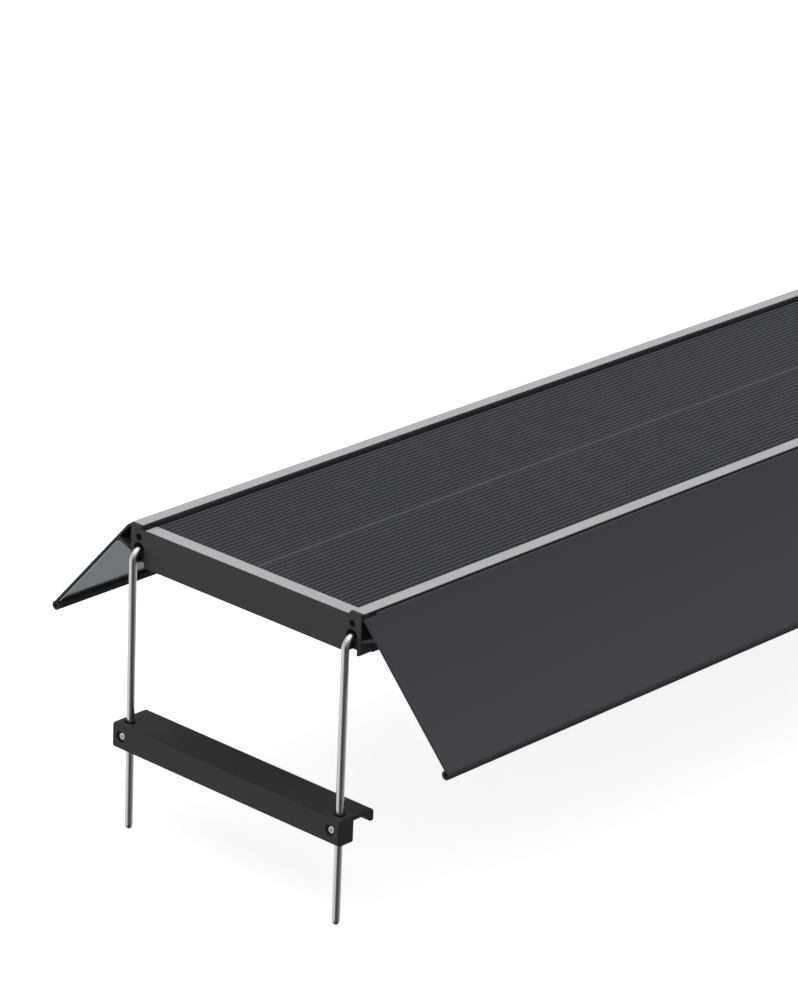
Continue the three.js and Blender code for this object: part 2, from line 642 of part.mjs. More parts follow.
const makeInletNut = () => {
  const hexagon = new THREE.Shape();
  for (let corner = 0; corner < 6; corner++) {
    const angle = (corner * Math.PI) / 3;
    const point = [NUT_RADIUS * Math.cos(angle), INLET_Z + NUT_RADIUS * Math.sin(angle)];
    if (corner === 0) hexagon.moveTo(...point);
    else hexagon.lineTo(...point);
  }
  hexagon.closePath();
  hexagon.holes.push(circleHole(0, INLET_Z, INLET_RADIUS + GAP));
  return alongX(hexagon, CAP_WALL + GAP, INLET_THREAD_END);
};

const addEnd = (name, x, turn) => {
  const end = new THREE.Group();
  end.position.x = x;
  end.rotation.z = turn;
  lamp.add(end);
  const hasInlet = name === 'right';
  addPiece(end, `${name}_end_cap`, makeEndCap(hasInlet), 'anodised');
  const strip = box(
    DECK_LIP + GAP,
    END_DEPTH,
    -FIELD_HALF,
    FIELD_HALF,
    DECK_TOP - TRIM_THICKNESS,
    DECK_TOP,
  );
  addPiece(end, `${name}_end_strip`, strip, 'bright');
  const seal = box(
    END_DEPTH + 2 * GAP,
    END_DEPTH + JAW_DEPTH,
    -JAW_HALF,
    JAW_HALF,
    LENS_TOP + GAP,
    SEAL_TOP,
  );
  addPiece(end, `${name}_lens_seal`, seal, 'rubber');
  addPiece(end, `${name}_clamp_bar`, makeClampBar(), 'anodised');
  addPiece(end, `${name}_rim_pad`, makeRimPad(), 'rubber');
  for (const side of SIDES) {
    const y = side.sign * (turn === 0 ? 1 : -1); // the end frame is turned half round on the right
    const label = `${name}_${side.name}`;
    addPiece(end, `${label}_rod`, makeRod(), 'steel').position.y = y * ROD_Y;
    addPiece(end, `${label}_rod_bush`, makeBush(), 'nylon').position.y = y * ROD_Y;
    addPiece(end, `${label}_cap_screw`, makeCapScrew(), 'plastic').position.y = y * SCREW_Y;
    addPiece(end, `${label}_grub_screw`, makeGrubScrew(), 'steel').position.y = y * ROD_Y;
  }
  if (hasInlet) {
    addPiece(end, 'power_inlet', makeInlet(), 'plastic');
    addPiece(end, 'power_inlet_nut', makeInletNut(), 'steel');
  }
};
addEnd('left', -HALF, 0);
addEnd('right', HALF, Math.PI);

export default lamp;
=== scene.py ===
import json
import math

import bmesh
import bpy
from mathutils import Matrix, Vector
from mathutils.geometry import tessellate_polygon


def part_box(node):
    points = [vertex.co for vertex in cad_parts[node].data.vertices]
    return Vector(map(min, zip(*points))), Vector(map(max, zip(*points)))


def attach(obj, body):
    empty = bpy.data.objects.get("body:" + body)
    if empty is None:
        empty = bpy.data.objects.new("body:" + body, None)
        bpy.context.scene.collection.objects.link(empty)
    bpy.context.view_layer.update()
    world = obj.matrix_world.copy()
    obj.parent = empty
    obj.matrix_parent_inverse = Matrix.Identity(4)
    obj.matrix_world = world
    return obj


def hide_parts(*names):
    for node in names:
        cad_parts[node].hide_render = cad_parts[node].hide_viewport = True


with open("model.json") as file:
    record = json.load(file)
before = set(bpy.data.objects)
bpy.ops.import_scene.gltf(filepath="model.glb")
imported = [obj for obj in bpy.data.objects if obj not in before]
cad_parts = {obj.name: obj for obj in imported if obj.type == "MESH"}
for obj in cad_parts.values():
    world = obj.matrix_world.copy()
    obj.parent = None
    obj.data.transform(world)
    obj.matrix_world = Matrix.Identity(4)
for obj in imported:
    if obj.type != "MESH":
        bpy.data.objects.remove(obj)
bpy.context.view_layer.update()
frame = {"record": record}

MM = 0.001
TURN = Matrix.Rotation(math.pi, 4, "Z")


def span(node):
    """The two corners of a CAD node's box, in millimetres."""
    return [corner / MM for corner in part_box(node)]


# ---- Driving dimensions, in millimetres, most of them measured on the CAD nodes -------------
CAP_LOW, CAP_HIGH = span("left_end_cap")
STRIP_LOW, STRIP_HIGH = span("left_end_strip")
BAR_LOW, BAR_HIGH = span("left_clamp_bar")
ROD_LOW, ROD_HIGH = span("left_rear_rod")
SINK_LOW, SINK_HIGH = span("heat_sink")
SIDE_STRIP_LOW = span("rear_rail_strip")[0]

HALF, HALF_WIDTH = -CAP_LOW.x, CAP_HIGH.y
BODY_BOTTOM, RAIL_TOP, DECK_TOP = CAP_LOW.z, CAP_HIGH.z, STRIP_HIGH.z
FIELD_HALF, INNER_HALF = STRIP_HIGH.y, SINK_HIGH.x
END_DEPTH = STRIP_HIGH.x + HALF
TRIM_INNER = SIDE_STRIP_LOW.y
GAP = 0.3  # clearance between neighbouring pieces
SHARP_ANGLE = math.radians(35)  # edges that turn by more are softened, and shaded as edges

ROD_RADIUS = (ROD_HIGH.y - ROD_LOW.y) / 2
ROD_Y = (ROD_HIGH.y + ROD_LOW.y) / 2
ROD_Z = ROD_HIGH.z - ROD_RADIUS
ROD_STANDOFF = -HALF - ROD_LOW.x - ROD_RADIUS
ROD_INSERT = ROD_HIGH.x + HALF
ROD_BEND = 7

SIDES = {"front": TURN, "rear": Matrix()}
ENDS = {"left": Matrix.Translation((-HALF, 0, 0)), "right": Matrix.Translation((HALF, 0, 0)) @ TURN}

BODY_OF = {
    node: body for body, nodes in frame["record"]["behaviour"]["bodies"].items() for node in nodes
}
JOINTS = {joint["name"]: joint for joint in frame["record"]["behaviour"]["joints"]}


# ---- Meshes ---------------------------------------------------------------------------------
def placed(axis, a, b, along):
    """The point that lies at (a, b) in the plane across an axis, and at `along` on it."""
    return {"X": (along, a, b), "Y": (a, along, b), "Z": (a, b, along)}[axis]


def arc(centre, radius, start, end, steps=8):
    """Points on an arc, in degrees, both ends included."""
    angles = [math.radians(start + (end - start) * step / steps) for step in range(steps + 1)]
    return [(centre[0] + radius * math.cos(turn), centre[1] + radius * math.sin(turn)) for turn in angles]


def circle(centre, radius, steps=40):
    return arc(centre, radius, 0, 360, steps)[:-1]


def rounded(corners, steps=4):
    """An outline whose corners (a, b, radius) are rounded. A corner (a, b) stays sharp."""
    outline = []
    for index, (a, b, *radius) in enumerate(corners):
        corner = Vector((a, b))
        if not radius:
            outline.append((a, b))
            continue
        before = (Vector(corners[index - 1][:2]) - corner).normalized()
        after = (Vector(corners[(index + 1) % len(corners)][:2]) - corner).normalized()
        half = before.angle(after) / 2
        centre = corner + (before + after).normalized() * (radius[0] / math.sin(half))
        ends = [corner + side * (radius[0] / math.tan(half)) - centre for side in (before, after)]
        first, last = (math.degrees(math.atan2(end.y, end.x)) for end in ends)
        sweep = (last - first + 180) % 360 - 180
        outline += arc(centre, radius[0], first, first + sweep, steps)
    return outline


def rectangle(a0, a1, b0, b1, radius=None):
    corners = [(a0, b0), (a1, b0), (a1, b1), (a0, b1)]
    return rounded([(*corner, radius) for corner in corners]) if radius else corners


def skin(bm, near, far):
    """The faces between two rings of corners. A ring may be one corner, repeated."""
    for index in range(len(near)):
        bm.faces.new(dict.fromkeys((near[index - 1], near[index], far[index], far[index - 1])))


def prism(outline, axis, start, end, holes=()):
    """An outline, with or without holes, drawn out along an axis."""
    bm = bmesh.new()
    loops = [outline, *holes]

    def ring(loop, along):
        return [bm.verts.new(placed(axis, a, b, along)) for a, b in loop]

    ends = [[ring(loop, along) for loop in loops] for along in (start, end)]
    for near, far in zip(*ends):
        skin(bm, near, far)
    for rings in ends:
        if not holes:
            bm.faces.new(rings[0])
            continue
        corners = [corner for ring in rings for corner in ring]
        for triangle in tessellate_polygon([[Vector((a, b, 0)) for a, b in loop] for loop in loops]):
            bm.faces.new([corners[index] for index in triangle])
    bmesh.ops.recalc_face_normals(bm, faces=bm.faces)
    return bm


def block(low, high):
    return prism(rectangle(low[0], high[0], low[1], high[1]), "Z", low[2], high[2])


def lathe(profile, axis, centre=(0, 0), steps=40):
    """A profile of (radius, place along the axis), turned round the axis. It may start and end on it."""
    bm = bmesh.new()
    rings = []
    for radius, along in profile:
        if radius == 0:
            rings.append([bm.verts.new(placed(axis, *centre, along))] * steps)
        else:
            rings.append([bm.verts.new(placed(axis, a, b, along)) for a, b in circle(centre, radius, steps)])
    closing = [] if profile[0][0] == 0 else [(rings[-1], rings[0])]
    for near, far in [*zip(rings, rings[1:]), *closing]:
        skin(bm, near, far)
    bmesh.ops.recalc_face_normals(bm, faces=bm.faces)
    return bm


def merged(parts):
    """Several closed bodies in one mesh."""
    whole = bmesh.new()
    for part in parts:
        mesh = bpy.data.meshes.new("part")
        part.to_mesh(mesh)
        part.free()
        whole.from_mesh(mesh)
        bpy.data.meshes.remove(mesh)
    return whole


def scratch(bm):
    """A short-lived object that holds the mesh."""
    mesh = bpy.data.meshes.new("scratch")
    bm.to_mesh(mesh)
    bm.free()
    made = bpy.data.objects.new("scratch", mesh)
    bpy.context.scene.collection.objects.link(made)
    return made


def carved(body, tools, operation="DIFFERENCE"):
    """The body after every tool is cut from it or, with UNION, joined to it."""
    subject = scratch(body)
    cutters = [scratch(tool) for tool in tools]
    for cutter in cutters:
        modifier = subject.modifiers.new("carve", "BOOLEAN")
        modifier.operation = operation
        modifier.solver = "EXACT"
        modifier.object = cutter
    depsgraph = bpy.context.evaluated_depsgraph_get()
    result = bmesh.new()
    result.from_mesh(subject.evaluated_get(depsgraph).to_mesh())
    for used in (subject, *cutters):
        mesh = used.data
        bpy.data.objects.remove(used)
        bpy.data.meshes.remove(mesh)
    return result


def softened(bm, radius, segments=2):
    """The body with its sharp outward edges rounded."""
    bmesh.ops.remove_doubles(bm, verts=bm.verts, dist=0.001)
    bmesh.ops.dissolve_limit(bm, angle_limit=math.radians(1), verts=bm.verts, edges=bm.edges)
    edges = [edge for edge in bm.edges if edge.is_convex and edge.calc_face_angle() > SHARP_ANGLE]
    bmesh.ops.bevel(
        bm, geom=edges, offset=radius, segments=segments, profile=0.5, affect="EDGES", clamp_overlap=True
    )
    return bm


def make(name, bm, finish, node, place=Matrix()):
    """Turns a mesh in millimetres into a piece that stands for a CAD node and rides on its body."""
    bmesh.ops.transform(bm, matrix=Matrix.Scale(MM, 4) @ place, verts=bm.verts)
    mesh = bpy.data.meshes.new(name)
    bm.to_mesh(mesh)
    bm.free()
    mesh.materials.append(FINISHES[finish].material)
    mesh.polygons.foreach_set("use_smooth", [True] * len(mesh.polygons))
    mesh.set_sharp_from_angle(angle=SHARP_ANGLE)
    piece = bpy.data.objects.new(name, mesh)
    bpy.context.scene.collection.objects.link(piece)
    piece.modifiers.new("normals", "WEIGHTED_NORMAL").keep_sharp = True
    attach(piece, BODY_OF[node])
    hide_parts(node)


# ---- Materials ------------------------------------------------------------------------------
def map_range(tree, value, low, high, start, end):
    """The value's stretch from start to end, spread over low to high."""
    node = tree.nodes.new("ShaderNodeMapRange")
    tree.links.new(value, node.inputs["Value"])
    for socket, number in (("From Min", start), ("From Max", end), ("To Min", low), ("To Max", high)):
        node.inputs[socket].default_value = number
    return node.outputs["Result"]


def mix_colours(tree, factor, first, second):
    """A colour between first and second; each is a colour or an output."""
    node = tree.nodes.new("ShaderNodeMix")
    node.data_type = "RGBA"
    tree.links.new(factor, node.inputs["Factor"])
    for socket, colour in ((node.inputs[6], first), (node.inputs[7], second)):
        if isinstance(colour, tuple):
            socket.default_value = (*colour, 1)
        else:
            tree.links.new(colour, socket)
    return node.outputs[2]


class Finish:
    """A Principled material whose patterns are laid out in metres on the object itself."""

    def __init__(self, name, metallic=0.0, roughness=0.5, **sockets):
        self.material = bpy.data.materials.new(name)
        self.material.use_nodes = True
        self.tree = self.material.node_tree
        self.shader = self.tree.nodes["Principled BSDF"]
        self.shader.inputs["Metallic"].default_value = metallic
        self.shader.inputs["Roughness"].default_value = roughness
        for socket, value in sockets.items():
            self.shader.inputs[socket.replace("_", " ")].default_value = value
        self.coordinates = self.node("ShaderNodeTexCoord").outputs["Object"]

    def node(self, kind):
        return self.tree.nodes.new(kind)

    def link(self, output, node_input):
        self.tree.links.new(output, node_input)

    def noise(self, size_mm, stretch=(1, 1, 1), detail=3.0):
        """Noise whose blotches are about size_mm across, longer along an axis where stretch is above 1."""
        mapping = self.node("ShaderNodeMapping")
        self.link(self.coordinates, mapping.inputs["Vector"])
        mapping.inputs["Scale"].default_value = [1 / factor for factor in stretch]
        texture = self.node("ShaderNodeTexNoise")
        texture.inputs["Scale"].default_value = 1 / (size_mm * MM)
        texture.inputs["Detail"].default_value = detail
        self.link(mapping.outputs["Vector"], texture.inputs["Vector"])
        return texture.outputs["Fac"]

    def ranged(self, value, low, high, start=0.3, end=0.7):
        return map_range(self.tree, value, low, high, start, end)

    def mixed(self, factor, first, second):
        return mix_colours(self.tree, factor, first, second)

    def colour(self, output):
        self.link(output, self.shader.inputs["Base Color"])
        return self

    def rough(self, output):
        self.link(output, self.shader.inputs["Roughness"])
        return self

    def bump(self, output, depth_mm, strength=1.0):
        node = self.node("ShaderNodeBump")
        node.inputs["Distance"].default_value = depth_mm * MM
        node.inputs["Strength"].default_value = strength
        self.link(output, node.inputs["Height"])
        previous = self.shader.inputs["Normal"].links
        if previous:
            self.link(previous[0].from_socket, node.inputs["Normal"])
        self.link(node.outputs["Normal"], self.shader.inputs["Normal"])
        return self


def anodised():
    """Black anodised aluminium: a fine blasted grain with faint cloudy dye."""
    finish = Finish("anodised", Specular_IOR_Level=0.35)
    clouds = finish.noise(40)
    grain = finish.noise(0.35, detail=2)
    finish.colour(finish.mixed(clouds, (0.028, 0.031, 0.037), (0.038, 0.038, 0.044)))
    finish.rough(finish.ranged(grain, 0.42, 0.55))
    return finish.bump(grain, 0.012)


def bar():
    """The clamp bars' darker, smoother anodising."""
    finish = Finish("bar", Specular_IOR_Level=0.35)
    clouds = finish.noise(30)
    grain = finish.noise(0.3, detail=2)
    finish.colour(finish.mixed(clouds, (0.015, 0.0145, 0.019), (0.021, 0.0195, 0.025)))
    finish.rough(finish.ranged(grain, 0.36, 0.46))
    return finish.bump(grain, 0.008)


def fins():
    """The heat sink's anodising, with die lines along the extrusion; the fins' flanks are painted paler, a
    painted fill light that lifts the shade in the grooves between the fins.
    """
    finish = Finish("fins", Specular_IOR_Level=0.12)
    lines = finish.noise(0.5, stretch=(400, 1, 1), detail=2)
    clouds = finish.noise(60, stretch=(2, 1, 1))
    place = finish.node("ShaderNodeSeparateXYZ")
    finish.link(finish.coordinates, place.inputs["Vector"])
    # Painted light: below the fin tips the flanks are painted paler, standing in for light that fills the
    # shaded grooves.
    painted_groove_light = finish.ranged(place.outputs["Z"], 1, 0, (SINK_HIGH.z - 1.6) * MM, (SINK_HIGH.z - 0.3) * MM)
    tip = finish.mixed(clouds, (0.060, 0.070, 0.078), (0.070, 0.070, 0.081))
    finish.colour(finish.mixed(painted_groove_light, tip, (0.145, 0.157, 0.175)))
    finish.rough(finish.ranged(lines, 0.5, 0.65))
    return finish.bump(lines, 0.01)


def brushed(name, along):
    """Clear anodised aluminium, brushed along X or Y."""
    finish = Finish(name, metallic=1.0)
    lines = finish.noise(0.4, stretch=[120 if axis == along else 1 for axis in "XYZ"], detail=4)
    clouds = finish.noise(12, stretch=[4 if axis == along else 1 for axis in "XYZ"])
    finish.colour(finish.mixed(clouds, (0.54, 0.54, 0.565), (0.62, 0.62, 0.64)))
    finish.rough(finish.ranged(lines, 0.32, 0.5))
    return finish.bump(lines, 0.01)


def shade_paint():
    """The shades' satin grey finish, with a faint green and purple mottle."""
    finish = Finish("shade_paint", Specular_IOR_Level=0.3)
    clouds = finish.noise(55)
    grain = finish.noise(0.3, detail=2)
    finish.colour(finish.mixed(clouds, (0.027, 0.0315, 0.038), (0.034, 0.033, 0.0415)))
    finish.rough(finish.ranged(grain, 0.5, 0.62))
    return finish.bump(grain, 0.008)


def mirror():
    """Polished reflector sheet, faintly hazy. Its blue-green tint and colour blotches are a painted
    reflection of tank glass and surroundings.
    """
    finish = Finish("mirror", metallic=1.0)
    haze_and_painted_reflection = finish.noise(30)
    # Painted reflection: the blue-green tint and the colour blotches stand in for what the sheet reflects;
    # the same noise also varies the real haze in the roughness.
    finish.colour(finish.mixed(haze_and_painted_reflection, (0.56, 0.67, 0.70), (0.62, 0.72, 0.75)))
    finish.rough(finish.ranged(haze_and_painted_reflection, 0.10, 0.2))
    return finish.bump(finish.noise(25, detail=1), 0.05)


def steel():
    """Polished stainless steel with faint drawing lines."""
    finish = Finish("steel", metallic=1.0)
    lines = finish.noise(0.3, stretch=(1, 1, 60))
    finish.colour(finish.mixed(lines, (0.66, 0.65, 0.64), (0.74, 0.73, 0.72)))
    return finish.rough(finish.ranged(lines, 0.1, 0.2))


def lens():
    """Clear acrylic."""
    finish = Finish("lens", roughness=0.03, IOR=1.49, Transmission_Weight=1.0)
    finish.shader.inputs["Base Color"].default_value = (0.95, 0.98, 0.98, 1)
    return finish.bump(finish.noise(20, detail=1), 0.02)


def simple(name, dark, light, rough, size_mm=0.4, depth_mm=0.01, **sockets):
    """A plain moulded or coated surface: two close colours and a fine grain."""
    finish = Finish(name, **sockets)
    grain = finish.noise(size_mm, detail=2)
    finish.colour(finish.mixed(finish.noise(size_mm * 30), dark, light))
    finish.rough(finish.ranged(grain, rough - 0.06, rough + 0.06))
    return finish.bump(grain, depth_mm)


FINISHES = {
    "anodised": anodised(),
    "bar": bar(),
    "fins": fins(),
    "bright": brushed("bright", "X"),
    "bright_across": brushed("bright_across", "Y"),
    "shade": shade_paint(),
    "mirror": mirror(),
    "steel": steel(),
    "lens": lens(),
    "rubber": simple("rubber", (0.012, 0.012, 0.012), (0.018, 0.018, 0.018), 0.8),
    "board": simple("board", (0.70, 0.70, 0.66), (0.76, 0.76, 0.72), 0.5),
    "phosphor": simple("phosphor", (0.72, 0.60, 0.16), (0.80, 0.68, 0.22), 0.3),
    "control": simple("control", (0.010, 0.055, 0.025), (0.014, 0.07, 0.032), 0.45),
    "plastic": simple("plastic", (0.010, 0.010, 0.011), (0.014, 0.014, 0.015), 0.5),
    "nylon": simple("nylon", (0.68, 0.66, 0.60), (0.74, 0.72, 0.66), 0.45),
}


# ---- Heat sink and side rails ---------------------------------------------------------------
FIN_COUNT = 43
FIN_THICKNESS = 1.8
CENTRE_FIN_THICKNESS = 3.4
PLATE_THICKNESS = 3.0
FLANGE_LOW = SINK_LOW.z + 3.7
FLANGE_HIGH = FLANGE_LOW + 2


def fin_corners(index):
    """The corners of one fin, from its right root to its left root."""
    pitch = (2 * FIELD_HALF - FIN_THICKNESS) / (FIN_COUNT - 1)
    middle = (FIN_COUNT - 1) // 2
    centre = (index - middle) * pitch
    half = (CENTRE_FIN_THICKNESS if index == middle else FIN_THICKNESS) / 2
    root = (SINK_LOW.z + PLATE_THICKNESS, 0.5)
    corners = [(centre + half, SINK_HIGH.z, 0.8), (centre - half, SINK_HIGH.z, 0.8)]
    if index < FIN_COUNT - 1:
        corners.insert(0, (centre + half, *root))
    if index > 0:
        corners.append((centre - half, *root))
    return corners


def heat_sink():
    """A plate with a field of fins on top and a flange along each side, for the rails."""
    half, flange = FIELD_HALF, SINK_HIGH.y
    right = [(half, SINK_LOW.z), (half, FLANGE_LOW), (flange, FLANGE_LOW)]
    right += [(flange, FLANGE_HIGH), (half, FLANGE_HIGH)]
    left = [(-a, b) for a, b in reversed(right)]
    corners = list(right)
    for index in reversed(range(FIN_COUNT)):
        corners += fin_corners(index)
    return prism(rounded(corners + left, 3), "X", -INNER_HALF, INNER_HALF)


PIVOT_Y = JOINTS["rear_shade_lift"]["pos_m"][1] / MM
PIVOT_Z = JOINTS["rear_shade_lift"]["pos_m"][2] / MM
BARREL_RADIUS = 1.8
SOCKET_INNER = BARREL_RADIUS + GAP
SOCKET_OUTER = 3.5
SOCKET_END = 300  # degrees, where the socket's mouth begins
RAIL_INNER = SINK_HIGH.y + GAP
BOSS_INNER = FIELD_HALF + GAP
BOSS_BOTTOM, BOSS_TOP = 184, 194
WALL_INNER = 94
LEDGE_TOP = BODY_BOTTOM + 1.6
SCREW_LOW, SCREW_HIGH = span("left_rear_cap_screw")
SCREW_Y, SCREW_Z = (SCREW_LOW.y + SCREW_HIGH.y) / 2, (SCREW_LOW.z + SCREW_HIGH.z) / 2
SCREW_SHANK, SCREW_CHANNEL = 1.3, 1.6  # radii
SIDE_EDGE = 0.8  # rounding along the lamp's outer edges


def rail():
    """The rear rail: a boss for the rods and screws, a ledge for the lens, and a socket for the shade."""
    reach = PIVOT_Y - HALF_WIDTH
    lip_start = 270 - math.degrees(math.asin(reach / SOCKET_OUTER))
    mouth = 90 + math.degrees(math.asin(reach / SOCKET_INNER))
    pivot = (PIVOT_Y, PIVOT_Z)
    seat = SIDE_STRIP_LOW.z - GAP
    outline = [(BOSS_INNER, BODY_BOTTOM)]
    outline += arc((HALF_WIDTH - SIDE_EDGE, BODY_BOTTOM + SIDE_EDGE), SIDE_EDGE, -90, 0, 4)
    outline += arc(pivot, SOCKET_OUTER, lip_start, SOCKET_END, 12)
    outline += arc(pivot, SOCKET_INNER, SOCKET_END, mouth, 28)
    outline += [(HALF_WIDTH, seat), (RAIL_INNER, seat), (RAIL_INNER, BOSS_TOP), (BOSS_INNER, BOSS_TOP)]
    outline += [(BOSS_INNER, BOSS_BOTTOM), (WALL_INNER, BOSS_BOTTOM), (WALL_INNER, LEDGE_TOP)]
    outline += [(BOSS_INNER, LEDGE_TOP)]
    channels = [circle((ROD_Y, ROD_Z), ROD_RADIUS + GAP), circle((SCREW_Y, SCREW_Z), SCREW_CHANNEL)]
    return softened(prism(outline, "X", -INNER_HALF, INNER_HALF, channels), 0.15, 1)


def strip(node, edge=0.22):
    """A bright trim strip with eased edges."""
    return softened(block(*span(node)), edge)


# ---- Shades ---------------------------------------------------------------------------------
PANEL_INNER, PANEL_OUTER = 0.2, 1.8  # the panel's faces, from the pivot along the panel's normal
BEAD_RADIUS, BEAD_BORE = 3, 1.4
BEAD_OFFSET = -0.8  # the bead's centre, from the pivot along the panel's normal
BRACE_FOOT = HALF_WIDTH + 0.4
BRACE_FOOT_TOP = 187.9
BRACE_THICKNESS = 2
BRACE_TOP, BRACE_ROOT = 13, 15.4  # where the brace meets the panel, down from the pivot
LINER_START, LINER_MARGIN, LINER_THICKNESS = 17.5, 1.5, 0.4


def shade_frame(side):
    """(length from the pivot to the bead's centre, function from (down the panel, outward) to a point)."""
    low, high = span(f"{side}_shade")
    across = max(-low.y, high.y) - BEAD_RADIUS - PIVOT_Y
    drop = PIVOT_Z - low.z - BEAD_RADIUS
    length = math.sqrt(across**2 + drop**2 - BEAD_OFFSET**2)
    slope = math.atan2(drop, across) + math.atan2(BEAD_OFFSET, length)

    def at(down, outward):
        return (
            PIVOT_Y + down * math.cos(slope) + outward * math.sin(slope),
            PIVOT_Z - down * math.sin(slope) + outward * math.cos(slope),
        )

    return length, at


def shade(side):
    """A panel with a hinge barrel along its top, a brace behind it and a hollow bead along its foot."""
    length, at = shade_frame(side)
    middle = (PANEL_INNER + PANEL_OUTER) / 2
    bead = at(length, BEAD_OFFSET)
    panel = [at(0, PANEL_INNER), at(length, PANEL_INNER), at(length, PANEL_OUTER), at(0, PANEL_OUTER)]
    brace = [(BRACE_FOOT, BRACE_FOOT_TOP), (BRACE_FOOT, BRACE_FOOT_TOP - BRACE_THICKNESS)]
    brace += [at(BRACE_ROOT, middle), at(BRACE_TOP, middle)]
    parts = [
        prism(brace, "X", -HALF, HALF),
        prism(circle(bead, BEAD_RADIUS, 48), "X", -HALF, HALF),
        prism(circle((PIVOT_Y, PIVOT_Z), BARREL_RADIUS, 32), "X", -INNER_HALF, INNER_HALF),
    ]
    whole = carved(prism(panel, "X", -HALF, HALF), parts, "UNION")
    bore = prism(circle(bead, BEAD_BORE, 32), "X", -HALF - 1, HALF + 1)
    return softened(carved(whole, [bore]), 0.2)


def liner(side):
    """The mirror sheet on a shade's inner face."""
    length, at = shade_frame(side)
    end = length - BEAD_RADIUS - LINER_MARGIN
    back = PANEL_INNER - GAP
    front = back - LINER_THICKNESS
    outline = [at(LINER_START, front), at(end, front), at(end, back), at(LINER_START, back)]
    return softened(prism(outline, "X", 1 - HALF, HALF - 1), 0.08, 1)


# ---- Underside ------------------------------------------------------------------------------
def seal(node):
    """A rubber strip with a rounded section."""
    return softened(block(*span(node)), 0.5, 3)


LED_ROWS, LEDS_PER_ROW = 5, 8
LED_ROW_PITCH = 30
LED_SIZE, LED_HEIGHT = 3.6, 0.7
BOARD_SCREW_Y = 70
BOARD_THICKNESS = 1.6
BOARD_CORNER = 1.5


def led_board(node):
    """A white board with rounded corners and two screw holes."""
    low, high = span(node)
    middle = (low.x + high.x) / 2
    holes = [circle((middle, sign * BOARD_SCREW_Y), SCREW_CHANNEL) for sign in (-1, 1)]
    outline = rectangle(low.x, high.x, low.y, high.y, BOARD_CORNER)
    return softened(prism(outline, "Z", high.z - BOARD_THICKNESS, high.z, holes), 0.1, 1)


def led_places(node):
    """The centre of each LED on a board."""
    low, high = span(node)
    for row in range(LED_ROWS):
        for place in range(LEDS_PER_ROW):
            x = low.x + (place + 0.5) / LEDS_PER_ROW * (high.x - low.x)
            yield x, (row - (LED_ROWS - 1) / 2) * LED_ROW_PITCH


def led_packages(node):
    """A square ceramic package for each LED."""
    top = span(node)[1].z - BOARD_THICKNESS
    half = LED_SIZE / 2
    return merged(
        softened(block((x - half, y - half, top - LED_HEIGHT), (x + half, y + half, top)), 0.25, 1)
        for x, y in led_places(node)
    )


def led_domes(node):
    """The yellow dome over each LED."""
    low, high = span(node)
    top = high.z - BOARD_THICKNESS - LED_HEIGHT
    profile = [(0, low.z), (0.75, low.z + 0.12), (1.2, low.z + 0.42), (1.4, top), (0, top)]
    return merged(lathe(profile, "Z", place, 16) for place in led_places(node))


def hexagon(radius, axis, start, end, centre):
    """A hexagonal bar, to cut a socket with."""
    return prism(arc(centre, radius, 0, 300, 5), axis, start, end)


def board_screw(node):
    """A domed screw with a hexagon socket in its underside."""
    low, high = span(node)
    centre = ((low.x + high.x) / 2, (low.y + high.y) / 2)
    head, shank = (high.x - low.x) / 2, SCREW_SHANK
    seat = low.z + 1.5  # where the head meets the board
    profile = [(0, low.z), (head - 1, low.z), (head - 0.3, low.z + 0.3), (head, low.z + 0.9), (head, seat)]
    profile += [(shank, seat), (shank, high.z - 0.4), (shank - 0.4, high.z), (0, high.z)]
    return carved(lathe(profile, "Z", centre), [hexagon(1.3, "Z", low.z - 1, low.z + 0.9, centre)])


LEG_PITCH = 2
CONTROL_CHIPS = {  # start along X from the board's edge, start along Y, length, width, height
    "regulator": (8, -20, 14, 24, 2),
    "radio": (34, -44, 12, 14, 2.4),
    "driver": (34, 18, 18, 22, 1.6),
}


def chip(size):
    """A moulded package with a row of legs along each of its longer edges."""
    low, high = span("control_board")
    start, y, length, width, height = size
    x = low.x + start
    under = high.z - BOARD_THICKNESS
    parts = [softened(block((x + 1, y, under - height), (x + length - 1, y + width, under)), 0.3)]
    for step in range(int(width / LEG_PITCH) - 1):
        for edge in (x, x + length - 1):
            leg = (edge, y + 1.6 + LEG_PITCH * step, under - 0.7)
            parts.append(block(leg, (edge + 1, leg[1] + 0.8, under)))
    return merged(parts)


def control_board():
    """A bare board with rounded corners."""
    low, high = span("control_board")
    outline = rectangle(low.x, high.x, low.y, high.y, BOARD_CORNER)
    return softened(prism(outline, "Z", high.z - BOARD_THICKNESS, high.z), 0.1, 1)


GROOVE_PITCH = 45


def control_cover():
    """A thin cover, stiffened by three shallow grooves in its upper face."""
    low, high = span("control_cover")
    outline = [(low.y, low.z), (high.y, low.z), (high.y, high.z)]
    for centre in (GROOVE_PITCH, 0, -GROOVE_PITCH):
        outline += [(centre + 4, high.z), (centre + 3.5, high.z - 0.4), (centre - 3.5, high.z - 0.4)]
        outline.append((centre - 4, high.z))
    outline.append((low.y, high.z))
    return softened(prism(outline, "X", low.x, high.x), 0.12, 1)


# ---- Ends -----------------------------------------------------------------------------------
# Drawn in the end frame: x = 0 is the end face and +x points inwards, as at the left end.
SLOT_HALF = 4.6
SLOT_DEPTH = 6.5
BUSH_OUTER = 3.9
DECK_LIP = STRIP_LOW.x + HALF - GAP  # black edge in front of the end's bright strip
CAP_TOP_LIP = SIDE_STRIP_LOW.x + HALF - GAP  # and in front of each side's
CAP_BOTTOM_CORNER = 2.5
CAP_WALL = 3
POCKET_FLOOR, POCKET_ROOF, POCKET_HALF = 182.6, 198, 80
JAW_HALF = BOSS_INNER - 0.5
JAW_THICKNESS = 3
SCREW_BORE, SCREW_SEAT, SHANK_BORE = 2.4, 5, 1.7  # radius, depth, radius
INLET_LOW, INLET_HIGH = span("power_inlet")
INLET_RADIUS = INLET_HIGH.y
INLET_Z = (INLET_LOW.z + INLET_HIGH.z) / 2


